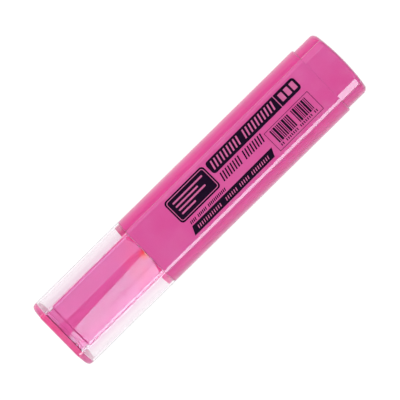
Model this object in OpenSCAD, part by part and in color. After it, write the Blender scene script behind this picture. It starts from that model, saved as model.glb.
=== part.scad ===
// Flat-bodied highlighter pen with a clear pull-off cap.
// Lies on its back panel: +X points to the writing end, +Y across the width, +Z up.
// The origin is on the table under the middle of the capped pen. Millimetres.

/* [Overall] */
// Length of the capped highlighter
total_length = 120; // [118:0.5:126]
// Width across the two side wings
body_width = 25; // [24.5:0.25:27]
// Thickness over the two raised panels
body_thickness = 15; // [15:0.2:16.4]
// Corner radius of the side wings
wing_radius = 5; // [4.5:0.1:5.4]
// Length of the cap from its end to the barrel seam
cap_length = 37; // [36.4:0.1:38]
// Length of the rear plug that shows behind the barrel
plug_length = 8.9; // [8:0.1:10]

/* [Raised panels] */
// Width of a panel's flat top
panel_width = 15.8; // [15:0.1:16.2]
// Height of a panel above the wings
panel_height = 0.5; // [0.4:0.05:0.5]

/* [Barrel] */
// Wall at the sides of the barrel
barrel_wall = 1.3; // [1.2:0.05:1.5]
// Thickness of the two ribs that centre the reservoir
rib_thickness = 1; // [0.8:0.1:1.4]

/* [Rear plug] */
// Step from the barrel's wings down to the plug's wings
plug_step = 0.68; // [0.5:0.02:0.8]
// Width of the flat top of the plug's panel
plug_panel_width = 13.7; // [13:0.1:14]
// Width of the gentle bevel at each side of the plug's panel
plug_bevel_width = 1.9; // [1.4:0.1:2]
// Fall of the panel over that bevel
plug_bevel_fall = 0.33; // [0.2:0.01:0.4]
// Radius of the bowed end of the plug, seen from above
plug_bow_radius = 70; // [60:5:100]
// Corner radius at the ends of the bow
plug_corner_radius = 1.5; // [1:0.1:2]
// Length of the plug's skirt inside the barrel
plug_skirt = 5; // [4:0.5:6]

/* [Front section] */
// Length of the neck that the cap slides over
neck_length = 2; // [1.6:0.05:2.2]
// Diameter of the nose's sealing land
land_diameter = 10.9; // [10.8:0.02:10.94]
// Length of the nose in front of the seam
nose_length = 14; // [13.5:0.1:14.4]
// Diameter of the nose's front face
nose_tip_diameter = 7.4; // [7.2:0.1:8]
// Length of the section's skirt inside the barrel
section_skirt = 4.5; // [4:0.25:5]

/* [Nib] */
// Width of the nib
nib_width = 5; // [4.6:0.1:5.2]
// Thickness of the nib
nib_thickness = 3.6; // [3:0.1:3.8]
// Length of the nib that stands out of the nose
nib_reach = 8.6; // [8:0.2:9]
// Slant of the chisel edge across the nib's width
nib_slant = 3.2; // [2:0.1:3.6]

/* [Reservoir] */
// Diameter of the ink-holding fibre core
core_diameter = 10.7; // [10.4:0.1:10.8]
// Thickness of the film round the core
film_thickness = 0.12; // [0.1:0.01:0.14]
// Outer diameter of the breather tube
breather_diameter = 1.3; // [1.1:0.1:1.5]

/* [Cap] */
// Wall of the clear sleeve at its wings
sleeve_wall = 0.5; // [0.4:0.05:0.5]
// Thickness of the end plate
plate_thickness = 2; // [1.8:0.1:2.6]
// Radius of the end plate's corners, seen from above
plate_corner_radius = 1.3; // [1:0.1:1.8]
// Diameter of the peg that holds the end plate in the inner cap
peg_diameter = 9; // [7:0.5:9.5]
// Length of the end plate's peg
peg_length = 2.2; // [1.8:0.1:2.3]
// Width of the inner cap
inner_width = 16.6; // [16.2:0.1:16.8]
// Bore of the inner cap where it seals on the nose
seal_bore = 11; // [11:0.01:11.02]
// Wall of the inner cap under its flat ridge
inner_wall = 0.9; // [0.8:0.05:0.9]
// Fall of the inner cap's roof from the ridge to its sides
roof_fall = 0.45; // [0.3:0.05:0.5]
// Width of the inner cap's flat ridge
ridge_width = 3; // [2:0.2:4]
// Length of the narrower collar behind the inner cap
collar_length = 3; // [2.4:0.1:3.2]
// Length of the free space in front of the nib
nib_room = 6.9; // [6.6:0.1:7]

/* [Hidden] */
$fn = 64;

// Colours
pink = [0.86, 0.33, 0.62];
hot_pink = [0.93, 0.27, 0.56];
pale_pink = [0.93, 0.62, 0.77, 0.8];
ink_pink = [0.98, 0.3, 0.5];
clear = [0.93, 0.93, 0.95, 0.35];
film = [0.96, 0.9, 0.94, 0.6];

// Clearances
slide_gap = 0.1;   // between the cap and what it slides over
seam_gap = 0.1;    // between the cap's mouth and the barrel
press_gap = 0.02;  // round a piece that is pressed into another
seat_gap = 0.05;   // round a loose inner piece
eps = 0.01;        // so that cutting shapes run past a face

// Stations along X
end_x = total_length / 2;
seam_x = end_x - cap_length;
rear_x = -end_x;
plug_x = rear_x + plug_length;
plate_x = end_x - plate_thickness;
nose_x = seam_x + nose_length;
nib_x = nose_x + nib_reach;
pocket_x = nib_x + nib_room;
core_front_x = seam_x - section_skirt - 0.5;
core_rear_x = plug_x + plug_skirt + 0.5;
nib_rear_x = core_front_x - 5.5;

// Heights and half sizes of the cross-section
axis_z = body_thickness / 2;
half_width = body_width / 2;
wing_half = axis_z - panel_height;
cavity_half_width = half_width - barrel_wall;
cavity_half_height = core_diameter / 2 + film_thickness + 0.3;
cavity_radius = wing_radius - barrel_wall + 0.5;
inner_half_height = seal_bore / 2 + inner_wall;
inner_end_x = plate_x - seat_gap;
inner_back_x = plate_x - collar_length;
neck_lip = 0.1;
scoop_depth = neck_length - neck_lip;
scoop_radius = (pow(inner_width / 2, 2) + pow(scoop_depth, 2)) / (2 * scoop_depth);
scoop_x = seam_x + neck_lip + scoop_radius;
ridge_middle = -0.9;
collar_step = 0.85;

// A rectangle with round corners, centred, given its half sizes and corner radius
module rounded_rectangle(a, b, r) {
  square([2 * a, 2 * (b - r)], center = true);
  square([2 * (a - r), 2 * b], center = true);
  for (y = [-1, 1], z = [-1, 1])
    translate([y * (a - r), z * (b - r)]) circle(r);
}

// A raised panel on each broad side: a bar with sloping edges that run down into the wings
module panel_bar(top, foot, flat_half, slope) {
  sink = 0.2;
  run = slope * (1 + sink / (top - foot));
  low = foot - sink;
  polygon([[flat_half + run, -low], [flat_half + run, low], [flat_half, top], [-flat_half, top],
           [-flat_half - run, low], [-flat_half - run, -low], [-flat_half, -top], [flat_half, -top]]);
}

// The outline that barrel, cap sleeve and end plate share, drawn in by inset
module body_outline(inset = 0) {
  rounded_rectangle(half_width - inset, wing_half - inset, wing_radius - inset);
  panel_bar(axis_z - inset, wing_half - inset, panel_width / 2 - 0.41 * inset, panel_height);
}

// The plain outline inside the cap sleeve, drawn in by inset from the wings
module sleeve_outline(inset) {
  rounded_rectangle(half_width - inset, wing_half - inset, wing_radius - inset);
}

// The barrel's hollow, drawn in by inset
module cavity_outline(inset = 0) {
  rounded_rectangle(cavity_half_width - inset, cavity_half_height - inset, cavity_radius - inset);
}

// A quarter outline, from its side to its top, mirrored to all four quarters
function four_ways(quarter) =
  let (back = [for (i = [len(quarter) - 1:-1:0]) quarter[i]])
  [each quarter,
   each [for (p = back) [-p[0], p[1]]],
   each [for (p = quarter) [-p[0], -p[1]]],
   each [for (p = back) [p[0], -p[1]]]];

// The outline of the plug that shows: stepped wings, and a panel level with the barrel's that falls
// over a gentle bevel and then a steep wall
module plug_outline() {
  sink = 0.5;
  wall_run = 0.15;
  flat_half = plug_panel_width / 2;
  brow = flat_half + plug_bevel_width;
  foot = wing_half - plug_step;
  rounded_rectangle(half_width - plug_step, foot, wing_radius - plug_step);
  polygon(four_ways([[brow + wall_run, foot - sink], [brow, axis_z - plug_bevel_fall], [flat_half, axis_z]]));
}

// Extrudes an outline drawn in Y and Z from x0 to x1, about the pen's axis
module along(x0, x1) {
  translate([x0, 0, axis_z]) rotate([90, 0, 90]) linear_extrude(x1 - x0) children();
}

// A rod or cone on the pen's axis
module rod(x0, x1, d0, d1) {
  translate([x0, 0, axis_z]) rotate([0, 90, 0]) cylinder(h = x1 - x0, d1 = d0, d2 = d1);
}

// The upright cylinder that shapes both the neck's scoop and the inner cap's mouth
module scoop(radius) {
  translate([scoop_x, 0, -1]) cylinder(h = body_thickness + 2, r = radius, $fn = 128);
}

module barrel() {
  rib_inner = core_diameter / 2 + film_thickness + seat_gap;
  color(pink) {
    difference() {
      along(plug_x, seam_x) body_outline();
      along(plug_x - 1, seam_x + 1) cavity_outline();
    }
    for (side = [-1, 1])
      translate([core_rear_x, side > 0 ? rib_inner : -cavity_half_width - 0.2,
                 axis_z - rib_thickness / 2])
        cube([core_front_x - core_rear_x - 1, cavity_half_width - rib_inner + 0.2, rib_thickness]);
  }
}

// Seen from above: straight sides, round corners and a bowed end
module plug_plan() {
  half = half_width - plug_step;
  bow_x = rear_x + plug_bow_radius;
  intersection() {
    translate([bow_x, 0]) circle(plug_bow_radius, $fn = 200);
    union() {
      corner_x = bow_x - sqrt(pow(plug_bow_radius, 2) - pow(half - 0.4, 2)) + plug_corner_radius;
      translate([rear_x - 1, -half + plug_corner_radius])
        square([plug_length + plug_skirt + 2, 2 * (half - plug_corner_radius)]);
      translate([corner_x, -half]) square([plug_length + plug_skirt + 2, 2 * half]);
      for (side = [-1, 1])
        translate([corner_x, side * (half - plug_corner_radius)]) circle(plug_corner_radius);
    }
  }
}

module rear_plug() {
  floor_x = rear_x + 2.6;
  stop_width = 7.6;
  color(pink) {
    difference() {
      union() {
        intersection() {
          along(rear_x - 1, plug_x - press_gap) plug_outline();
          linear_extrude(body_thickness) plug_plan();
        }
        along(plug_x - 1, plug_x + plug_skirt) cavity_outline(press_gap);
      }
      along(floor_x, plug_x + plug_skirt + 1) cavity_outline(press_gap + 1);
    }
    for (turn = [0, 90])
      translate([0, 0, axis_z]) rotate([turn, 0, 0])
        translate([floor_x - 0.5, -stop_width / 2, -rib_thickness / 2])
          cube([core_rear_x - floor_x + 0.5 - seat_gap, stop_width, rib_thickness]);
  }
}

// The nib's cross-section, grown by gap
module nib_outline(gap = 0) {
  rounded_rectangle(nib_width / 2 + gap, nib_thickness / 2 + gap, 0.6 + gap);
}

module front_section() {
  wall = 1.4;
  land = [seam_x + 3.4, seam_x + 6.4];
  throat = land_diameter - 0.5;
  shoulder_x = nose_x - 4.2;
  color(hot_pink) difference() {
    union() {
      difference() {
        along(seam_x, seam_x + neck_length) sleeve_outline(sleeve_wall + slide_gap);
        scoop(scoop_radius);
      }
      difference() {
        along(seam_x - section_skirt, seam_x) cavity_outline(press_gap);
        along(seam_x - section_skirt - 1, seam_x - wall) cavity_outline(press_gap + 1);
      }
      rod(seam_x - wall, land[0], throat, throat);
      rod(land[0], land[1], land_diameter, land_diameter);
      rod(land[1], shoulder_x, throat, throat);
      rod(shoulder_x, nose_x, throat, nose_tip_diameter);
      rod(core_front_x + 0.2, seam_x - wall + 0.2, nose_tip_diameter, nose_tip_diameter);
    }
    along(core_front_x - 1, nose_x + 1) nib_outline(press_gap);
    for (side = [-1, 1])
      translate([core_front_x - 1, side * (nib_width / 2 + 0.15), axis_z]) rotate([0, 90, 0])
        cylinder(h = nose_x - core_front_x + 2, r = 0.4, $fn = 24);
  }
}

// Chisel seen from above: a slanting edge with its leading corner at the tip
module nib_plan() {
  half = nib_width / 2;
  blunt = 0.5;
  polygon([[nib_rear_x + 1.2, half], [nib_rear_x, half - 1.2], [nib_rear_x, 1.2 - half],
           [nib_rear_x + 1.2, -half], [nib_x - blunt, -half], [nib_x, -half + blunt],
           [nib_x - nib_slant, half - 0.3], [nib_x - nib_slant - 0.4, half]]);
}

// Chisel seen from the side: both broad faces slope to a narrow edge
module nib_side() {
  half = nib_thickness / 2;
  edge = 0.7;
  polygon([[nib_rear_x - 1, -half], [nib_x - 5, -half], [nib_x, -edge], [nib_x, edge],
           [nib_x - 5, half], [nib_rear_x - 1, half]]);
}

module nib() {
  color(ink_pink) intersection() {
    along(nib_rear_x - 1, nib_x + 1) nib_outline();
    linear_extrude(body_thickness) nib_plan();
    translate([0, nib_width, axis_z]) rotate([90, 0, 0]) linear_extrude(2 * nib_width) nib_side();
  }
}

breather_y = core_diameter / 2 - breather_diameter / 2 - seat_gap;

module reservoir_core() {
  color(ink_pink) difference() {
    rod(core_rear_x, core_front_x, core_diameter, core_diameter);
    along(nib_rear_x - seat_gap, core_front_x + 1) nib_outline(seat_gap);
    translate([core_rear_x - 1, breather_y, axis_z]) rotate([0, 90, 0])
      cylinder(h = core_front_x - core_rear_x + 2, d = breather_diameter + 2 * seat_gap);
    translate([core_rear_x - 1, breather_y, axis_z - breather_diameter / 4])
      cube([core_front_x - core_rear_x + 2, breather_diameter, breather_diameter / 2]);
  }
}

module reservoir_film() {
  color(film) difference() {
    rod(core_rear_x, core_front_x, core_diameter + 2 * film_thickness,
        core_diameter + 2 * film_thickness);
    rod(core_rear_x - 1, core_front_x + 1, core_diameter, core_diameter);
  }
}

module breather_tube() {
  bore = breather_diameter - 0.6;
  color(film) translate([core_rear_x, breather_y, axis_z]) rotate([0, 90, 0]) difference() {
    cylinder(h = core_front_x - core_rear_x, d = breather_diameter, $fn = 32);
    translate([0, 0, -1]) cylinder(h = core_front_x - core_rear_x + 2, d = bore, $fn = 32);
  }
}

module cap_sleeve() {
  color(clear) difference() {
    along(seam_x + seam_gap, plate_x) body_outline();
    along(seam_x, plate_x + 1) sleeve_outline(sleeve_wall);
  }
}

// Seen from above: the end plate with its two round corners
module plate_plan() {
  r = plate_corner_radius;
  translate([plate_x, -half_width]) square([plate_thickness - r, body_width]);
  translate([plate_x, r - half_width]) square([plate_thickness, body_width - 2 * r]);
  for (side = [-1, 1])
    translate([end_x - r, side * (half_width - r)]) circle(r);
}

module cap_end_plate() {
  color(hot_pink) {
    intersection() {
      along(plate_x, end_x) body_outline();
      linear_extrude(body_thickness) plate_plan();
    }
    rod(plate_x - peg_length, plate_x + eps, peg_diameter, peg_diameter);
  }
}

// The inner cap's outline: round corners under a roof that falls both ways from a flat ridge
module liner_outline() {
  half = inner_width / 2;
  radius = 1;
  eave = inner_half_height - roof_fall;
  ridge = [ridge_middle - ridge_width / 2, ridge_middle + ridge_width / 2];
  rounded_rectangle(half, eave, radius);
  polygon([[ridge[1], inner_half_height], [half - radius, eave], [half - radius, -eave],
           [ridge[1], -inner_half_height], [ridge[0], -inner_half_height], [radius - half, -eave],
           [radius - half, eave], [ridge[0], inner_half_height]]);
}

module inner_cap() {
  land_x = seam_x + 9;
  color(pale_pink) difference() {
    union() {
      intersection() {
        along(seam_x, inner_back_x) liner_outline();
        union() {
          scoop(scoop_radius - 0.15);
          translate([scoop_x, -inner_width, 0])
            cube([inner_back_x - scoop_x, 2 * inner_width, body_thickness]);
        }
      }
      along(inner_back_x - eps, inner_end_x)
        rounded_rectangle(inner_width / 2 - collar_step, seal_bore / 2, 2.3);
    }
    rod(seam_x - 1, pocket_x, seal_bore, seal_bore);
    along(land_x, pocket_x) rounded_rectangle(inner_width / 2 - 1, seal_bore / 2, 2.4);
    rod(plate_x - peg_length - seat_gap, plate_x + 1, peg_diameter + 2 * press_gap,
        peg_diameter + 2 * press_gap);
  }
}

barrel();
rear_plug();
front_section();
nib();
reservoir_core();
reservoir_film();
breather_tube();
cap_sleeve();
cap_end_plate();
inner_cap();
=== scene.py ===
"""Looks of a flat-bodied pink highlighter with a clear cap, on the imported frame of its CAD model.

Lengths in the builders are millimetres in the row frame (+X to the writing end, +Z up) and become
metres where a mesh is made. Y and Z of an outline are measured from the pen's own axis.
"""
import math

import bmesh
import bpy
from mathutils import Matrix, Vector


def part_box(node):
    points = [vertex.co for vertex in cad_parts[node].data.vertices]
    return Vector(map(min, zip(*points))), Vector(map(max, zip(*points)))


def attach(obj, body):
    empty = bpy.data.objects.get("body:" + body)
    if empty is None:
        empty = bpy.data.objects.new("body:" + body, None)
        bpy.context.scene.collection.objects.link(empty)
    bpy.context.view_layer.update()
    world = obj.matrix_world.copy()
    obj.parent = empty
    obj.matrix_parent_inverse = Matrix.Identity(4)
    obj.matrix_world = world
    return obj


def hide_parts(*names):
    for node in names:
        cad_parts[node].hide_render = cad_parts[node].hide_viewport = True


MM = 0.001
QUARTER = 35  # points in a quarter of every ring

# Cross-sections. half, wing and top are the outline's half width, the wings' height and the panel's.
# The panel is flat as far as flat, falls over a bevel at a tilt, and drops down a wall to the wing.
# edge and foot are how far the rounding reaches at the panel's edges and at the foot of the wall.
WINGS = {"half": 12.5, "wing": 7.0, "radius": 5.0, "top": 7.5, "tilt": 9.5}
BODY = WINGS | {"flat": 7.85, "bevel": 0.8, "wall": 80, "edge": 0.1, "foot": 0.2}
CAP = WINGS | {"flat": 8.15, "bevel": 0.06, "wall": 80, "edge": 0.05, "foot": 0.2}
PLATE = WINGS | {"flat": 7.85, "bevel": 0.6, "wall": 62, "edge": 0.1, "foot": 0.25}
# The rear plug's wings step in from the barrel's
PLUG_WINGS = {"half": 11.82, "wing": 6.32, "radius": 4.32, "top": 7.5, "tilt": 10}
PLUG = PLUG_WINGS | {"flat": 6.85, "bevel": 1.9, "wall": 82, "edge": 0.12, "foot": 0.25}

# Half widths, heights, radii and lengths of the parts, as in the CAD model
CAVITY = (11.2, 5.77, 4.2)
SKIRT_WALL = 1.0
PRESS_GAP = 0.02
PLUG_BOW = 70.0
PLUG_FLOOR = 2.6
PLUG_SKIRT = 5.0
INNER_HALF = 8.3
INNER_TOP = 6.4
INNER_CORNER = 0.45
RIDGE_MIDDLE = -1.1
POCKET = (7.2, 5.3, 2.4)
NIB_ROOM = 6.9
SEAL_BORE = 5.5
LAND_RADIUS = 5.45
THROAT_RADIUS = 5.2
TIP_RADIUS = 3.7
SLEEVE_WALL = 0.5
STEP_FOOT = 6.9  # height above the pen's axis
SLIDE_GAP = 0.1
NECK_LENGTH = 2.0
NECK_LIP = 0.1
COLLAR_LENGTH = 3.0
COLLAR_STEP = 0.45
PEG_RADIUS = 4.5
PEG_LENGTH = 2.2
NIB_HALF = (2.5, 1.8)
NIB_SLANT = 3.2
NIB_TAPER = 5.6
NIB_EDGE = 0.75

PRINT_TURN = -0.4  # degrees
PRINT_MIDDLE = 78.0  # from the cap's end
PRINT_THICKNESS = 0.012

# Colours of the plastic: its own colour over the panels; over the wings a deeper pink that is painted
# light, standing in for light through the thin curved sides; and a paler painted glow where it is seen
# edge on
PANEL = (0.475, 0.072, 0.245)
WING_PAINTED_LIGHT = (0.52, 0.050, 0.225)
RIM_PAINTED_GLOW = (0.68, 0.36, 0.48)


# ---------------------------------------------------------------- outlines

def lerp(a, b, t):
    return a + (b - a) * t


def smoothstep(low, high, value):
    t = min(max((value - low) / (high - low), 0.0), 1.0)
    return t * t * (3 - 2 * t)


def arc(cy, cz, r, start, end, n):
    """n + 1 points on an arc; angles in degrees, from +Y towards +Z."""
    points = []
    for i in range(n + 1):
        angle = math.radians(lerp(start, end, i / n))
        points.append((cy + r * math.cos(angle), cz + r * math.sin(angle)))
    return points


def bend(a, corner, b, n):
    """n + 1 points on a smooth curve from a to b that rounds the corner between them."""
    points = []
    for i in range(n + 1):
        t = i / n
        weights = ((1 - t) ** 2, 2 * t * (1 - t), t * t)
        points.append(tuple(sum(w * p[k] for w, p in zip(weights, (a, corner, b))) for k in (0, 1)))
    return points


def straight(a, b, n):
    return [(lerp(a[0], b[0], i / n), lerp(a[1], b[1], i / n)) for i in range(n + 1)]


def resample(points, n=QUARTER):
    """n points spaced evenly along a polyline."""
    lengths = [0.0]
    for p, q in zip(points, points[1:]):
        lengths.append(lengths[-1] + math.dist(p, q))
    result = []
    j = 0
    for i in range(n):
        goal = lengths[-1] * i / (n - 1)
        while j < len(points) - 2 and lengths[j + 1] < goal:
            j += 1
        span = max(lengths[j + 1] - lengths[j], 1e-9)
        t = min((goal - lengths[j]) / span, 1.0)
        p, q = points[j], points[j + 1]
        result.append((lerp(p[0], q[0], t), lerp(p[1], q[1], t)))
    return result


def inward(point, tilt_before, tilt_after, inset):
    """A corner between two faces, given their tilts, moved in so that both faces move in by inset."""
    before, after = math.radians(tilt_before), math.radians(tilt_after)
    share = inset / (1 + math.cos(after - before))
    y = point[0] - share * (math.sin(before) + math.sin(after))
    z = point[1] - share * (math.cos(before) + math.cos(after))
    return y, z


def panelled(spec, inset=0.0):
    """A quarter of a wing-and-panel outline, from the middle of the panel to the middle of the side."""
    half = spec["half"] - inset
    radius = spec["radius"] - inset
    cy = spec["half"] - spec["radius"]
    cz = spec["wing"] - spec["radius"]
    tilt, wall = math.radians(spec["tilt"]), math.radians(spec["wall"])
    brow = (spec["flat"] + spec["bevel"], spec["top"] - spec["bevel"] * math.tan(tilt))
    crest = inward((spec["flat"], spec["top"]), 0, spec["tilt"], inset)
    brow = inward(brow, spec["tilt"], spec["wall"], inset)
    low, high = 0.0, 4.0
    for _ in range(40):
        t = (low + high) / 2
        y, z = brow[0] + math.cos(wall) * t, brow[1] - math.sin(wall) * t
        if z > cz + math.sqrt(max(radius ** 2 - max(y - cy, 0) ** 2, 0)):
            low = t
        else:
            high = t
    foot = (brow[0] + math.cos(wall) * low, brow[1] - math.sin(wall) * low)
    foot_angle = math.degrees(math.atan2(foot[1] - cz, foot[0] - cy))
    edge = spec["edge"]
    side = min(spec["foot"], 0.6 * low)
    wing_arc = arc(cy, cz, radius, foot_angle - math.degrees(spec["foot"] / radius), 0, 15)
    points = straight((0, crest[1]), (crest[0] - edge, crest[1]), 4)
    after_crest = (crest[0] + edge * math.cos(tilt), crest[1] - edge * math.sin(tilt))
    points += bend(points[-1], crest, after_crest, 3)[1:]
    tight = 0.5 * edge
    before_brow = (brow[0] - tight * math.cos(tilt), brow[1] + tight * math.sin(tilt))
    after_brow = (brow[0] + tight * math.cos(wall), brow[1] - tight * math.sin(wall))
    points += bend(before_brow, brow, after_brow, 3)
    before_foot = (foot[0] - math.cos(wall) * side, foot[1] + math.sin(wall) * side)
    points += bend(before_foot, foot, wing_arc[0], 5)
    points += wing_arc[1:]
    points += straight((half, cz), (half, 0), 2)[1:]
    return points


def round_box(half, height, radius):
    """A quarter of a rectangle with round corners."""
    corner = arc(half - radius, height - radius, radius, 90, 0, 16)
    return resample([(0, height)] + corner + [(half, 0)])


def circle(radius):
    return arc(0, 0, radius, 90, 0, QUARTER - 1)


def whole(quarter, other=None):
    """The closed ring of a quarter outline, from its top by +Y. other is the -Y side's quarter."""
    other = other or [(-y, z) for y, z in quarter]
    ring = list(quarter)
    ring += [(y, -z) for y, z in reversed(quarter[:-1])]
    ring += [(y, -z) for y, z in other[1:]]
    ring += [(y, z) for y, z in reversed(other[1:-1])]
    return ring


# ---------------------------------------------------------------- rings in space

def at(outline, x):
    """A ring at station x, which may be a function of y. outline is a quarter, or a pair of them."""
    place = x if callable(x) else (lambda y: x)
    ring = whole(*outline) if isinstance(outline, tuple) else whole(outline)
    return [(place(y), y, z) for y, z in ring]


def blend_rings(a, b, low, high):
    """Ring a over the panel and ring b over the wings."""
    result = []
    for p, q in zip(a, b):
        t = smoothstep(low, high, abs(p[1]))
        result.append(tuple(lerp(p[k], q[k], t) for k in range(3)))
    return result


def rounded_end(outline, x, towards, panel_r, wing_r=None, steps=5):
    """Rings that round the edge at station x, up to the end face. towards is the way it looks."""
    wing_r = panel_r if wing_r is None else wing_r
    place = x if callable(x) else (lambda y: x)
    rings = []
    for i in range(steps + 1):
        angle = math.pi / 2 * i / steps
        pair = []
        for r in (panel_r, wing_r):
            back = towards * r * (1 - math.sin(angle))
            pair.append(at(outline(r * (1 - math.cos(angle))), lambda y, back=back: place(y) - back))
        rings.append(blend_rings(pair[0], pair[1], 8.0, 10.0))
    return rings


def across(a, b, x, steps=8):
    """Rings over an end face between rings a and b, so that the face follows x(y), not a chord."""
    rings = []
    for i in range(1, steps):
        pairs = [(lerp(p[1], q[1], i / steps), lerp(p[2], q[2], i / steps)) for p, q in zip(a, b)]
        rings.append([(x(y), y, z) for y, z in pairs])
    return rings


def closing(ring, x=None, steps=5):
    """Rings that shrink from a ring to its middle line and so close its end."""
    place = x if callable(x) else None
    wide = max(p[1] for p in ring)
    tall = max(p[2] for p in ring)
    line = max(wide - tall, 0.0)
    rings = []
    for i in range(1, steps + 1):
        t = i / steps
        shrunk = []
        for px, py, pz in ring:
            y = lerp(py, min(max(py, -line), line), t)
            shrunk.append((place(y) if place else px, y, pz * (1 - t)))
        rings.append(shrunk)
    return rings


def loft(name, rings, body, closed=False, sharp=38):
    """A mesh through the rings, in order. closed joins the last ring to the first, as on a tube."""
    mesh = bpy.data.meshes.new(name)
    axis = frame_axis_height()
    bm = bmesh.new()
    rows = [[bm.verts.new((p[0] * MM, p[1] * MM, axis + p[2] * MM)) for p in ring] for ring in rings]
    pairs = list(zip(rows, rows[1:]))
    if closed:
        pairs.append((rows[-1], rows[0]))
    for a, b in pairs:
        for i in range(len(a)):
            j = (i + 1) % len(a)
            bm.faces.new((a[i], a[j], b[j], b[i]))
    bmesh.ops.remove_doubles(bm, verts=bm.verts, dist=2e-7)
    bmesh.ops.dissolve_degenerate(bm, edges=bm.edges, dist=1e-7)
    bmesh.ops.recalc_face_normals(bm, faces=bm.faces)
    bm.to_mesh(mesh)
    bm.free()
    mesh.shade_smooth()
    mesh.set_sharp_from_angle(angle=math.radians(sharp))
    piece = bpy.data.objects.new(name, mesh)
    bpy.context.collection.objects.link(piece)
    normals = piece.modifiers.new("Normals", "WEIGHTED_NORMAL")
    normals.keep_sharp = True
    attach(piece, body)
    return piece


def frame_axis_height():
    low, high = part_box("barrel")
    return (low[2] + high[2]) / 2


def stations():
    """Stations along X in millimetres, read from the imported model."""
    lows = {node: [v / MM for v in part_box(node)[0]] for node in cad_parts}
    highs = {node: [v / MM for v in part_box(node)[1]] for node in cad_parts}
    return {
        "rear": lows["rear_plug"][0],
        "plug": lows["barrel"][0],
        "seam": highs["barrel"][0],
        "mouth": lows["cap_sleeve"][0],
        "plate": highs["cap_sleeve"][0],
        "end": highs["cap_end_plate"][0],
        "section_rear": lows["front_section"][0],
        "nose": highs["front_section"][0],
        "nib": highs["nib"][0],
    }


# ---------------------------------------------------------------- pieces of the pen

def body_outline(inset=0.0):
    return panelled(BODY, inset)


def cap_outline(inset=0.0):
    return panelled(CAP, inset)


def plate_outline(inset=0.0):
    return panelled(PLATE, inset)


def hollow(inset):
    """The plain outline inside the cap sleeve, in by inset from the wings."""
    return round_box(BODY["half"] - inset, BODY["wing"] - inset, BODY["radius"] - inset)


def plug_outline(inset=0.0):
    return panelled(PLUG, inset)


def cavity(inset=0.0):
    return round_box(*(size - inset for size in CAVITY))


def build_barrel(s):
    outer_rear = rounded_end(body_outline, s["plug"], -1, 0.03, 0.65)
    outer_front = rounded_end(body_outline, s["seam"], 1, 0.1)
    rings = list(reversed(outer_rear)) + outer_front
    rings += [at(cavity(), s["seam"]), at(cavity(), s["plug"])]
    return loft("barrel_shell", rings, "pen", closed=True)


def build_plug(s):
    skirt = s["plug"] + PLUG_SKIRT
    hollow_out = PRESS_GAP + SKIRT_WALL

    def end_x(y):
        return s["rear"] + PLUG_BOW - math.sqrt(PLUG_BOW ** 2 - y ** 2)

    end = list(reversed(rounded_end(plug_outline, end_x, -1, 1.15, 1.5, steps=7)))
    rings = list(reversed(closing(end[0], end_x))) + end
    rings += [at(plug_outline(), s["plug"] - 0.01), at(cavity(PRESS_GAP), s["plug"] - 0.01)]
    rings += [at(cavity(PRESS_GAP), skirt), at(cavity(hollow_out), skirt)]
    floor = at(cavity(hollow_out), s["rear"] + PLUG_FLOOR)
    rings += [floor] + closing(floor)
    return loft("rear_plug_shell", rings, "pen")


def scoop_x(s, depth, radius_cut=0.0):
    """Station, as a function of y, of the upright cylinder that shapes the neck and the inner cap."""
    radius = (INNER_HALF ** 2 + depth ** 2) / (2 * depth)
    middle = s["seam"] + NECK_LIP + radius
    return lambda y: middle - math.sqrt(max((radius - radius_cut) ** 2 - min(abs(y), 11.9) ** 2, 0))


def nib_slot():
    """A quarter of the socket round the nib, with a vent groove at each side."""
    half, height = NIB_HALF[0] + 0.02, NIB_HALF[1] + 0.02
    corner = arc(half - 0.62, height - 0.62, 0.62, 90, 0, 8)
    groove = arc(half + 0.13, 0, 0.4, 112, 0, 10)
    return resample([(0, height)] + corner + groove)


def build_front_section(s):
    neck_front = scoop_x(s, NECK_LENGTH - NECK_LIP)
    neck_end = s["seam"] + NECK_LENGTH

    def front(y):
        return min(neck_front(y), neck_end)

    def neck(inset):
        return hollow(SLEEVE_WALL + SLIDE_GAP + inset)

    def rod(radius, x):
        return at(circle(radius), x)

    hollow_out = PRESS_GAP + SKIRT_WALL
    skirt = at(cavity(hollow_out), s["section_rear"])
    inner = at(cavity(hollow_out), s["seam"] - 1.4)
    rings = list(reversed(closing(inner))) + [inner, skirt]
    rings += [at(cavity(PRESS_GAP), s["section_rear"]), at(cavity(PRESS_GAP), s["seam"] - 0.01)]
    rings += [at(neck(0), s["seam"] - 0.01)]
    rings += rounded_end(neck, front, 1, 0.08)
    base = at(circle(THROAT_RADIUS + 0.35), front)
    rings += across(rings[-1], base, front)
    fillet = at(circle(THROAT_RADIUS), lambda y: front(y) + 0.35)
    mid = at(circle(THROAT_RADIUS + 0.1), lambda y: front(y) + 0.1)
    rings += [base, mid, fillet]
    land = (s["seam"] + 3.4, s["seam"] + 6.4)
    rings += [rod(THROAT_RADIUS, land[0] - 0.25), rod(LAND_RADIUS - 0.04, land[0])]
    rings += [rod(LAND_RADIUS, land[0] + 0.12), rod(LAND_RADIUS, land[1] - 0.12)]
    rings += [rod(LAND_RADIUS - 0.04, land[1]), rod(THROAT_RADIUS, land[1] + 0.25)]
    rings += [rod(THROAT_RADIUS, s["nose"] - 4.6)]
    for t, r in ((4.2, 5.16), (3.9, 5.03)):
        rings += [rod(r, s["nose"] - t)]
    rings += [rod(lerp(5.0, TIP_RADIUS, 0.9), s["nose"] - 0.75)]
    for t, r in ((0.4, 0.04), (0.18, 0.15), (0.06, 0.3), (0.0, 0.48)):
        rings += [rod(TIP_RADIUS - r, s["nose"] - t)]
    socket_floor = at(nib_slot(), s["nose"] - 3.0)
    rings += [at(nib_slot(), s["nose"]), socket_floor]
    rings += closing(socket_floor)
    return loft("front_section_shell", rings, "pen", sharp=50)


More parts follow.
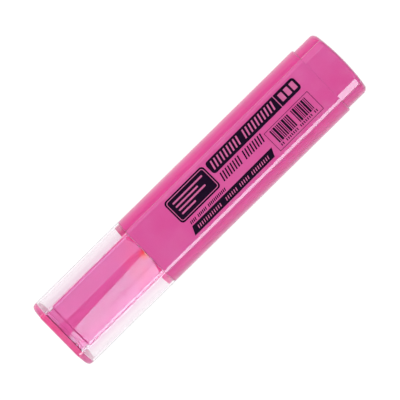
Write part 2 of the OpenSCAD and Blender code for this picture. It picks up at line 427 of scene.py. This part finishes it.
def build_nib(s):
    half, height = NIB_HALF

    def tip(y):
        return s["nib"] - NIB_SLANT * min(max((y + half - 0.4) / (2 * half - 0.6), 0.0), 1.0)

    def section(shrink, tall):
        radius = min(0.6, tall * 0.8)
        return round_box(half - shrink, tall, radius)

    shoulder = s["nib"] - NIB_TAPER
    rings = [at(section(0.25, height - 0.25), s["nose"] - 2.9)]
    rings = list(reversed(closing(rings[0], steps=3))) + rings
    rings += [at(section(0, height), s["nose"] - 2.5)]
    for t in (0.0, 0.12, 0.25, 0.4, 0.55, 0.7, 0.85, 0.93):
        tall = lerp(height, NIB_EDGE, smoothstep(-0.15, 1.25, t))
        rings.append(at(section(0.0, tall), lambda y, t=t: lerp(shoulder, tip(y), t)))
    for back, less in ((0.2, 0.05), (0.08, 0.14), (0.0, 0.32)):
        rings.append(at(section(less, NIB_EDGE - less), lambda y, back=back: tip(y) - back))
    rings += closing(rings[-1], tip, steps=4)
    return loft("nib_fibre", rings, "pen", sharp=60)


# ---------------------------------------------------------------- pieces of the cap

def build_sleeve(s):
    rear = s["plate"] - 0.02
    rings = list(reversed(rounded_end(cap_outline, s["mouth"], -1, 0.1)))
    rings += rounded_end(cap_outline, rear, 1, 0.02)
    rings += [at(hollow(SLEEVE_WALL), rear), at(hollow(SLEEVE_WALL), s["mouth"] + 0.12)]
    rings += [at(hollow(SLEEVE_WALL - 0.1), s["mouth"] + 0.02)]
    return loft("cap_sleeve_shell", rings, "cap", closed=True)


def frost_and_paint_edge_lines(piece, material):
    """The steps at the sleeve's panels and the rim of its mouth are frosted and pale pink; the pale pink
    is a painted highlight, giving light lines where the clear plastic would show reflections.
    """
    piece.data.materials.append(material)
    axis = frame_axis_height()
    for face in piece.data.polygons:
        on_step = abs(face.center.z - axis) > STEP_FOOT * MM and abs(face.normal.y) > 0.7
        if on_step or face.normal.x < -0.7:
            face.material_index = 1


def build_end_plate(s):
    peg_x = s["plate"] - PEG_LENGTH
    tip = at(circle(PEG_RADIUS - 0.2), peg_x)
    rings = list(reversed(closing(tip, steps=3))) + [tip, at(circle(PEG_RADIUS), peg_x + 0.2)]
    rings += [at(circle(PEG_RADIUS), s["plate"])]
    rings += list(reversed(rounded_end(plate_outline, s["plate"], -1, 0.02)))
    end = rounded_end(plate_outline, s["end"], 1, 0.8, 1.3, steps=7)
    rings += end + closing(end[-1])
    return loft("cap_end_plate_shell", rings, "cap")


def liner_side(inset, side, ridge_edge):
    """A quarter of the inner cap: a flat ridge, a crown that falls away from it, and a round corner."""
    top = INNER_TOP - inset
    half = INNER_HALF - inset
    start = RIDGE_MIDDLE * side
    edge = ridge_edge * side
    radius = INNER_CORNER
    reach = half - radius - edge

    def crown(d):
        return top - 0.034 * d - 0.0045 * d * d

    eave = crown(reach)
    corner = arc(half - radius, eave - radius, radius, 84, 0, 12)
    points = straight((start, top), (edge - 0.12, top), 3)
    points += bend((edge - 0.12, top), (edge, top), (edge + 0.12, crown(0.12)), 4)[1:]
    points += [(edge + d, crown(d)) for d in [0.12 + (reach - 0.12) * k / 11 for k in range(1, 12)]]
    points += corner[1:]
    points += straight(corner[-1], (half, 0), 3)[1:]
    points += [points[-1]] * (QUARTER - len(points))
    return [(y * side, z) for y, z in points]


def liner(end):
    """The inner cap's outline by inset. end is 0 at its back, 1 at its mouth and -1 at its collar."""
    right = lerp(1.1, -0.3 if end > 0 else 1.7, abs(end))
    left = lerp(-2.2, -2.3 if end > 0 else -2.7, abs(end))
    return lambda inset=0.0: (liner_side(inset, 1, right), liner_side(inset, -1, left))


def build_inner_cap(s):
    mouth = scoop_x(s, NECK_LENGTH - NECK_LIP, 0.03)
    land = s["seam"] + 9
    pocket = s["nib"] + NIB_ROOM
    back = s["plate"] - COLLAR_LENGTH
    collar_end = s["plate"] - 0.05
    peg_hole = circle(PEG_RADIUS + PRESS_GAP)
    floor = at(peg_hole, s["plate"] - PEG_LENGTH - 0.05)
    rings = list(reversed(closing(floor, steps=3))) + [floor, at(peg_hole, collar_end)]
    for x, inset in ((collar_end, COLLAR_STEP + 0.1), (collar_end - 0.1, COLLAR_STEP),
                     (back + 1.9, COLLAR_STEP), (back + 1.8, COLLAR_STEP + 0.15)):
        rings.append(at(liner(-1.0)(inset), x))
    for x, inset in ((back + 0.45, 0.6), (back + 0.2, 0.5), (back + 0.08, 0.36)):
        rings.append(at(liner(-0.5)(inset), x))
    rings += list(reversed(rounded_end(liner(0), back, 1, 0.3)))
    rings += rounded_end(liner(1), mouth, -1, 0.06)
    lip = at(circle(SEAL_BORE + 0.1), mouth)
    rings += across(rings[-1], lip, mouth)
    rings += [lip, at(circle(SEAL_BORE), lambda y: mouth(y) + 0.12)]
    rings += [at(circle(SEAL_BORE), land), at(round_box(*POCKET), land)]
    end = at(round_box(*POCKET), pocket)
    rings += [end] + closing(end)
    return loft("inner_cap_shell", rings, "cap")


# ---------------------------------------------------------------- print on the barrel

def printed(name, shapes, s, height, material):
    """Flat ink shapes on the upper panel. A shape is a list of (c, y), with c from the cap's end."""
    axis = frame_axis_height()
    low = axis + (BODY["top"] + height) * MM
    turn = Matrix.Rotation(math.radians(PRINT_TURN), 2)
    mesh = bpy.data.meshes.new(name)
    bm = bmesh.new()
    for shape in shapes:
        turned = [turn @ Vector((c - PRINT_MIDDLE, y)) for c, y in shape]
        corners = [((s["end"] - PRINT_MIDDLE - v.x) * MM, v.y * MM) for v in turned]
        base = [bm.verts.new((x, y, low)) for x, y in corners]
        top = [bm.verts.new((x, y, low + PRINT_THICKNESS * MM)) for x, y in corners]
        bm.faces.new(base)
        bm.faces.new(top)
        for i in range(len(corners)):
            bm.faces.new((base[i - 1], base[i], top[i], top[i - 1]))
    bmesh.ops.recalc_face_normals(bm, faces=bm.faces)
    bm.to_mesh(mesh)
    bm.free()
    piece = bpy.data.objects.new(name, mesh)
    bpy.context.collection.objects.link(piece)
    piece.data.materials.append(material)
    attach(piece, "pen")
    return piece


def plate_shape(c0, c1, y0, y1, r=0.0, lean=0.0):
    """A rectangle with round corners, leaning by lean from its low-y edge to its high-y edge."""
    if r <= 0:
        return [(c0 + lean, y0), (c1 + lean, y0), (c1, y1), (c0, y1)]
    points = []
    corners = ((c1 - r, y1 - r), (c1 - r, y0 + r), (c0 + r, y0 + r), (c0 + r, y1 - r))
    for (c, y), start in zip(corners, (90, 0, -90, -180)):
        points += arc(c, y, r, start, start - 90, 5)
    return points


def ticks(c0, c1, y0, y1, count, width, lean=0.0, skip=()):
    """A row of equal strokes."""
    pitch = (c1 - c0 - width) / (count - 1)
    shapes = []
    for i in range(count):
        if i not in skip:
            c = c0 + i * pitch
            shapes.append(plate_shape(c, c + width, y0, y1, 0.0, lean))
    return shapes


def frame_lines(c0, c1, y0, y1, width):
    return [
        plate_shape(c0, c1, y0, y0 + width),
        plate_shape(c0, c1, y1 - width, y1),
        plate_shape(c0, c0 + width, y0 + width, y1 - width),
        plate_shape(c1 - width, c1, y0 + width, y1 - width),
    ]


def stripes(c0, c1, y0, y1, widths, gap):
    """Bars that take their widths from a list, over and over."""
    shapes = []
    c = c0
    while c + max(widths) < c1:
        width = widths[len(shapes) % len(widths)]
        shapes.append(plate_shape(c, c + width, y0, y1))
        c += width + gap
    return shapes


def build_print(s, dark, light):
    """Plain bars, strokes and stripes in the places of the real print. None is a letter or a mark."""
    block = [plate_shape(50.93, 67.47, -7.03, 1.53, 1.2)]
    bar = [plate_shape(68.27, 105.55, -6.77, -2.3, 1.1)]
    ribbon = [plate_shape(51.2, 84.93, 3.96, 6.66, 0.0, 1.3)]
    strokes = ticks(68.9, 86.1, -1.55, 1.3, 17, 0.5, 0.7, skip=(8,))
    small = ticks(52.7, 67.4, 2.5, 3.5, 24, 0.36, 0.3, skip=(4, 11))
    box = frame_lines(87.35, 105.7, -0.5, 6.76, 0.16)
    bars = stripes(89.0, 97.3, 0.15, 4.8, (0.5, 0.22, 0.75, 0.3, 0.4), 0.27)
    bars += stripes(97.8, 104.3, 0.15, 4.8, (0.35, 0.7, 0.24, 0.3, 0.6), 0.27)
    dots = ticks(88.9, 104.0, 5.15, 6.0, 21, 0.34, skip=(2, 10, 18))
    printed("print_dark", block + bar + ribbon + strokes + small + box + bars + dots, s, 0.004, dark)
    rim = [plate_shape(51.45, 66.95, -6.5, 1.0, 0.9)]
    wide = ticks(69.3, 95.2, -6.1, -3.3, 20, 0.55, 0.7, skip=(9,))
    split = [plate_shape(97.05, 97.3, -6.77, -2.3)]
    squares = [plate_shape(c, c + 1.6, -5.9, -3.3, 0.15) for c in (98.4, 100.75, 103.1)]
    fine = ticks(53.6, 83.4, 4.85, 5.95, 36, 0.3, 0.3, skip=(12, 13, 20, 26))
    printed("print_light", rim + wide + split + squares + fine, s, 0.016, light)
    printed("print_field", [plate_shape(51.68, 66.72, -6.27, 0.77, 0.7)], s, 0.028, dark)
    lines = []
    for i, end in enumerate((65.4, 62.3, 64.2, 58.8)):
        lines.append(plate_shape(53.0, end, -5.1 + 1.35 * i, -4.55 + 1.35 * i, 0.27))
    printed("print_lines", lines, s, 0.04, light)


# ---------------------------------------------------------------- materials

def add(tree, kind, values=None, **settings):
    """A shader node with its settings, values and incoming links."""
    node = tree.nodes.new(kind)
    for key, value in settings.items():
        setattr(node, key, value)
    for key, value in (values or {}).items():
        if isinstance(value, bpy.types.NodeSocket):
            tree.links.new(value, node.inputs[key])
        else:
            node.inputs[key].default_value = value
    return node


def new_material(name):
    material = bpy.data.materials.new(name)
    material.use_nodes = True
    tree = material.node_tree
    tree.nodes.clear()
    output = add(tree, "ShaderNodeOutputMaterial")
    return material, tree, output


def noise(tree, scale, detail=3.0, stretch=None):
    """Noise in the row frame; scale is in cycles a metre, and stretch multiplies it along each axis."""
    coordinates = add(tree, "ShaderNodeTexCoord").outputs["Object"]
    if stretch:
        mapping = add(tree, "ShaderNodeMapping", {"Vector": coordinates, "Scale": stretch})
        coordinates = mapping.outputs["Vector"]
    values = {"Vector": coordinates, "Scale": scale, "Detail": detail}
    return add(tree, "ShaderNodeTexNoise", values).outputs["Fac"]


def spread(tree, value, low, high, at_low=0.3, at_high=0.7):
    values = {"Value": value, "From Min": at_low, "From Max": at_high, "To Min": low, "To Max": high}
    return add(tree, "ShaderNodeMapRange", values).outputs["Result"]


def mixed(tree, first, second, factor):
    """Colour first where factor is 0 and second where it is 1. Either may be a colour or a socket."""
    node = add(tree, "ShaderNodeMix", data_type="RGBA")
    tree.links.new(factor, node.inputs["Factor"])
    for socket, colour in ((node.inputs[6], first), (node.inputs[7], second)):
        if isinstance(colour, bpy.types.NodeSocket):
            tree.links.new(colour, socket)
        else:
            socket.default_value = (*colour, 1.0)
    return node.outputs[2]


def shaded(colour, amount):
    return tuple(amount * v for v in colour)


def off_axis(tree, low, high):
    """0 over the panels and 1 over the wings, turning between two distances from the middle plane."""
    way = add(tree, "ShaderNodeTexCoord").outputs["Object"]
    y = add(tree, "ShaderNodeSeparateXYZ", {0: way}).outputs["Y"]
    distance = add(tree, "ShaderNodeMath", {0: y}, operation="ABSOLUTE").outputs[0]
    return spread(tree, distance, 0.0, 1.0, low * MM, high * MM)


def handling_marks(tree, strength):
    """Bump of faint hairlines along the pen over the fine unevenness of a moulded face."""
    lines = noise(tree, 420.0, 2.0, (0.12, 1.0, 1.0))
    cast = noise(tree, 90.0, 2.0)
    mix = add(tree, "ShaderNodeMath", {0: cast, 1: lines}, operation="ADD").outputs[0]
    values = {"Height": mix, "Strength": strength, "Distance": 0.0001}
    return add(tree, "ShaderNodeBump", values).outputs["Normal"]


def pink_plastic(name, panel, wing, rim, rough=(0.06, 0.12), scatter=0.3, border=(8.4, 9.2)):
    """Moulded translucent pink plastic: a purer pink over the thin wings that is painted light, and a
    paler painted glow where the surface turns edge on.
    """
    material, tree, output = new_material(name)
    # painted light: the wings get a deeper pink by their distance from the middle plane, standing in for
    # light through the curved sides
    tint = mixed(tree, panel, wing, off_axis(tree, *border))
    tint = mixed(tree, tint, shaded(wing, 0.9), spread(tree, noise(tree, 70.0), 0.0, 0.6))
    facing = add(tree, "ShaderNodeLayerWeight", {"Blend": 0.5}).outputs["Facing"]
    # painted glow: the colour turns paler where the surface turns edge on to the view
    tint = mixed(tree, tint, rim, spread(tree, facing, 0.0, 0.8, 0.25, 1.0))
    shader = add(tree, "ShaderNodeBsdfPrincipled", {
        "Base Color": tint,
        "Roughness": spread(tree, noise(tree, 300.0), *rough),
        "IOR": 1.5,
        "Subsurface Weight": scatter,
        "Subsurface Radius": (1.0, 0.25, 0.5),
        "Subsurface Scale": 0.002,
        "Normal": handling_marks(tree, 0.05),
    })
    tree.links.new(shader.outputs[0], output.inputs["Surface"])
    return material


def through_plastic(name, tint, transmission, rough, marks=0.05):
    """Plastic that shows what is behind it and lets the lamps through. tint may be a function."""
    material, tree, output = new_material(name)
    colour = tint(tree) if callable(tint) else (*tint, 1.0)
    shader = add(tree, "ShaderNodeBsdfPrincipled", {
        "Base Color": colour,
        "Roughness": spread(tree, noise(tree, 250.0), *rough),
        "IOR": 1.49,
        "Transmission Weight": transmission,
        "Normal": handling_marks(tree, marks),
    })
    clear = add(tree, "ShaderNodeBsdfTransparent", {"Color": colour})
    shadow = add(tree, "ShaderNodeLightPath").outputs["Is Shadow Ray"]
    part = add(tree, "ShaderNodeMath", {0: shadow, 1: transmission}, operation="MULTIPLY").outputs[0]
    mix = add(tree, "ShaderNodeMixShader", {0: part, 1: shader.outputs[0], 2: clear.outputs[0]})
    tree.links.new(mix.outputs[0], output.inputs["Surface"])
    return material


def sleeve_tint_painted_reflection(tree):
    """Water-clear, with a pink painted into the plastic next to the liner: a painted reflection of the
    liner's pink.
    """
    return mixed(tree, (0.975, 0.87, 0.935), (0.955, 0.905, 0.935), off_axis(tree, 8.4, 10.5))


def liner_tint(s):
    """Translucent pink that is fuller towards the mouth, where the ink has stained it."""
    middle = ((s["seam"] + 0.6) * MM, -0.1 * MM, 0.0)

    def build(tree):
        way = add(tree, "ShaderNodeTexCoord").outputs["Object"]
        parts = add(tree, "ShaderNodeSeparateXYZ", {0: way}).outputs
        fuller = spread(tree, parts["X"], 1.0, 0.0, (s["seam"] + 2) * MM, (s["seam"] + 10) * MM)
        drift = spread(tree, noise(tree, 110.0), 0.0, 1.0)
        rich = add(tree, "ShaderNodeMath", {0: fuller, 1: drift}, operation="MULTIPLY").outputs[0]
        tint = mixed(tree, (0.64, 0.09, 0.27), (0.78, 0.085, 0.2), rich)
        flat = add(tree, "ShaderNodeVectorMath", {0: way, 1: (1.0, 1.0, 0.0)}, operation="MULTIPLY")
        away = add(tree, "ShaderNodeVectorMath", {0: flat.outputs[0], 1: middle}, operation="DISTANCE")
        stain = spread(tree, away.outputs["Value"], 0.85, 0.0, 0.5 * MM, 2.3 * MM)
        return mixed(tree, tint, (0.85, 0.06, 0.03), stain)

    return build


def fibre(name, pale, deep):
    """Bundled fibre soaked in ink: dull, with strands along the pen."""
    material, tree, output = new_material(name)
    strands = noise(tree, 1500.0, 4.0, (0.08, 1.0, 1.0))
    tint = mixed(tree, pale, deep, spread(tree, strands, 0.0, 1.0))
    bump = add(tree, "ShaderNodeBump", {"Height": strands, "Strength": 0.6, "Distance": 0.0001})
    shader = add(tree, "ShaderNodeBsdfPrincipled", {
        "Base Color": tint,
        "Roughness": 0.85,
        "Sheen Weight": 0.3,
        "Normal": bump.outputs["Normal"],
    })
    tree.links.new(shader.outputs[0], output.inputs["Surface"])
    return material


def ink(name, colour, rough):
    """Screen-printed ink, with a slightly uneven gloss."""
    material, tree, output = new_material(name)
    patches = spread(tree, noise(tree, 900.0), 0.0, 1.0)
    shader = add(tree, "ShaderNodeBsdfPrincipled", {
        "Base Color": mixed(tree, colour, shaded(colour, 0.85), patches),
        "Roughness": spread(tree, noise(tree, 1400.0), *rough),
        "Specular IOR Level": 0.04,
    })
    tree.links.new(shader.outputs[0], output.inputs["Surface"])
    return material


# ---------------------------------------------------------------- stage

def build_floor():
    mesh = bpy.data.meshes.new("floor")
    size = 3.0
    drop = -0.02 * MM
    corners = [(-size, -size, drop), (size, -size, drop), (size, size, drop), (-size, size, drop)]
    mesh.from_pydata(corners, [], [(0, 1, 2, 3)])
    floor = bpy.data.objects.new("floor", mesh)
    bpy.context.collection.objects.link(floor)
    material, tree, output = new_material("floor_white")
    paint = add(tree, "ShaderNodeBsdfDiffuse", {"Color": (0.1, 0.1, 0.1, 1.0)})
    glow = add(tree, "ShaderNodeEmission", {"Color": (1.0, 1.0, 1.0, 1.0), "Strength": 0.95})
    both = add(tree, "ShaderNodeAddShader", {0: paint.outputs[0], 1: glow.outputs[0]})
    tree.links.new(both.outputs[0], output.inputs["Surface"])
    mesh.materials.append(material)


def build_world():
    """What the gloss reflects: levels by direction across the pen, with a dark gap overhead.

    It gives no soft light itself.
    """
    world = bpy.data.worlds.new("studio")
    bpy.context.scene.world = world
    world.use_nodes = True
    world.cycles_visibility.diffuse = False
    tree = world.node_tree
    tree.nodes.clear()
    output = add(tree, "ShaderNodeOutputWorld")
    way = add(tree, "ShaderNodeTexCoord").outputs["Generated"]
    parts = add(tree, "ShaderNodeSeparateXYZ", {0: way}).outputs
    across = spread(tree, parts["Y"], 0.0, 1.0, -1.0, 1.0)
    tent = add(tree, "ShaderNodeValToRGB", {"Fac": across})
    ramp = tent.color_ramp
    levels = ((0.0, 1.5), (0.03, 1.2), (0.1, 0.3), (0.25, 0.3),
              (0.5, 0.9), (0.78, 0.8), (0.9, 1.1), (1.0, 1.8))
    while len(ramp.elements) < len(levels):
        ramp.elements.new(0.5)
    for element, (position, level) in zip(ramp.elements, levels):
        element.position = position
        element.color = (level, level, level, 1.0)
    values = {"Vector": way, "Location": (-0.21, 0.2, 0), "Scale": (3, 3, 0)}
    place = add(tree, "ShaderNodeMapping", values)
    radius = add(tree, "ShaderNodeVectorMath", {0: place.outputs[0]}, operation="LENGTH").outputs["Value"]
    above = add(tree, "ShaderNodeMath", {0: parts["Z"], 1: 0.0}, operation="GREATER_THAN").outputs[0]
    dark = spread(tree, radius, 0.95, 0.0, 0.5, 1.3)
    gap = add(tree, "ShaderNodeMath", {0: dark, 1: above}, operation="MULTIPLY").outputs[0]
    open_part = add(tree, "ShaderNodeMath", {0: 1.0, 1: gap}, operation="SUBTRACT").outputs[0]
    sky = add(tree, "ShaderNodeBackground", {"Color": tent.outputs[0], "Strength": open_part})
    tree.links.new(sky.outputs[0], output.inputs["Surface"])


def panel_light(name, place, target, size, watts, colour=(1, 1, 1)):
    """A softbox at place that faces target."""
    light = bpy.data.lights.new(name, "AREA")
    light.shape = "RECTANGLE"
    light.size, light.size_y = size
    light.energy = watts
    light.color = colour
    lamp = bpy.data.objects.new(name, light)
    bpy.context.collection.objects.link(lamp)
    away = Vector(place) - Vector(target)
    lamp.location = place
    lamp.rotation_euler = away.to_track_quat("Z", "Y").to_euler()
    return lamp


def soft_light(name, place, size, watts, colour=(1, 1, 1)):
    """A lamp that lights but is not seen in the gloss."""
    lamp = panel_light(name, place, (0, 0, 0.0075), size, watts, colour)
    lamp.visible_glossy = False
    lamp.visible_transmission = False


def softbox(name, near, far, height, length, radiance, colour):
    """A panel overhead that only the gloss shows, from near to far across the pen in degrees."""
    low = height * math.tan(math.radians(near))
    high = height * math.tan(math.radians(far))
    middle = (low + high) / 2
    width = abs(high - low)
    watts = radiance * math.pi * length * width
    lamp = panel_light(name, (0.08, middle, height), (0.08, middle, 0), (length, width), watts, colour)
    lamp.visible_diffuse = False


def build_lights():
    cool = (0.36, 1.0, 0.86)
    softbox("softbox_right", 3.2, 8.0, 1.2, 0.9, 9.5, cool)
    softbox("softbox_far_right", 8.2, 26.0, 1.15, 0.9, 10.8, (0.6, 0.95, 0.95))
    softbox("softbox_left", -3.2, -13.0, 1.2, 0.9, 4.0, (0.4, 0.9, 1.0))
    softbox("softbox_far_left", -13.2, -24.0, 1.15, 0.9, 1.6, (1.0, 0.6, 0.9))
    soft_light("overhead", (0.0, 0.0, 1.3), (1.6, 1.6), 27.0)
    soft_light("key", (0.0, -0.8, 0.6), (1.2, 0.6), 7.0, (1.0, 0.8, 0.84))
    soft_light("fill", (0.0, 0.9, 0.35), (1.2, 0.4), 4.0)


def build_camera():
    """Almost straight down, from a little behind the pen, with the cap to the lower left."""
    tilt = math.radians(4.0)
    along = Vector((math.cos(tilt), 0, math.sin(tilt)))
    across = Vector((0, 1, 0))
    back = along.cross(across)
    turn = math.radians(224.5)
    right = along * math.cos(turn) + across * math.cos(turn + math.pi / 2)
    up = along * math.sin(turn) + across * math.sin(turn + math.pi / 2)
    distance = 1.0
    width = 0.12045
    camera = bpy.data.cameras.new("camera")
    camera.sensor_width = 36.0
    camera.lens = 36.0 * distance / width
    camera.clip_start = 0.05
    body = bpy.data.objects.new("camera", camera)
    bpy.context.collection.objects.link(body)
    target = Vector((0.00023, 0.00014, 0.015))
    turned = Matrix((right, up, back)).transposed().to_4x4()
    body.matrix_world = Matrix.Translation(target + back * distance) @ turned
    bpy.context.scene.camera = body


# ---------------------------------------------------------------- the whole

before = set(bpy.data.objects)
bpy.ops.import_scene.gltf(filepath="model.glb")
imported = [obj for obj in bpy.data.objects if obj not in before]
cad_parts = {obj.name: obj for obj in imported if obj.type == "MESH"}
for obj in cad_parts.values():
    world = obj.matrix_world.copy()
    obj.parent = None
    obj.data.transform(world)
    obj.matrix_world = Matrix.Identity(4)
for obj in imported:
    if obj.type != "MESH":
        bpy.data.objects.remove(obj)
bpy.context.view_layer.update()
s = stations()

build_camera()
build_world()
build_floor()
build_lights()

# In each pink plastic the second colour is painted light over the wings and the third is a painted edge
# glow
barrel_pink = pink_plastic("barrel_pink", PANEL, WING_PAINTED_LIGHT, RIM_PAINTED_GLOW)
plug_pink = pink_plastic("plug_pink", PANEL, WING_PAINTED_LIGHT, RIM_PAINTED_GLOW)
section_pink = pink_plastic("section_pink", (0.62, 0.05, 0.2), (0.55, 0.06, 0.2), (0.62, 0.2, 0.35))
plate_pink = pink_plastic("plate_pink", (0.58, 0.052, 0.195), (0.52, 0.11, 0.26), (0.66, 0.25, 0.4))
cap_clear = through_plastic("cap_clear", sleeve_tint_painted_reflection, 1.0, (0.01, 0.03), marks=0.006)
# painted highlight: a rough, pale pink, partly diffuse plastic for the light lines along the sleeve's
# steps and mouth
cap_edge_painted_highlight = through_plastic("cap_edge_painted_highlight", (0.9, 0.62, 0.77), 0.4, (0.25, 0.35))
inner_pink = through_plastic("inner_pink", liner_tint(s), 0.12, (0.04, 0.07), marks=0.03)
nib_ink = fibre("nib_fibre", (0.95, 0.1, 0.25), (0.8, 0.04, 0.16))
core_ink = fibre("core_fibre", (0.92, 0.14, 0.32), (0.8, 0.08, 0.22))
wrap_film = through_plastic("wrap_film", (0.95, 0.85, 0.9), 0.8, (0.1, 0.2))
tube_milk = through_plastic("tube_plastic", (0.9, 0.9, 0.92), 0.5, (0.2, 0.3))
dark_ink = ink("dark_ink", (0.008, 0.0015, 0.011), (0.1, 0.16))
light_ink = ink("light_ink", (0.44, 0.10, 0.24), (0.1, 0.16))

made = [
    (build_barrel(s), "barrel", "barrel_pink", barrel_pink),
    (build_plug(s), "rear_plug", "plug_pink", plug_pink),
    (build_front_section(s), "front_section", "section_pink", section_pink),
    (build_nib(s), "nib", "nib_fibre", nib_ink),
    (build_sleeve(s), "cap_sleeve", "cap_clear", cap_clear),
    (build_end_plate(s), "cap_end_plate", "plate_pink", plate_pink),
    (build_inner_cap(s), "inner_cap", "inner_pink", inner_pink),
]
for piece, node, slot, material in made:
    piece.data.materials.append(material)
    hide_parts(node)
    if node == "cap_sleeve":
        frost_and_paint_edge_lines(piece, cap_edge_painted_highlight)
kept = [("reservoir_core", core_ink), ("reservoir_film", wrap_film), ("breather_tube", tube_milk)]
for node, material in kept:
    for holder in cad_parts[node].material_slots:
        holder.material = material
build_print(s, dark_ink, light_ink)

bpy.context.scene.view_settings.view_transform = "Standard"
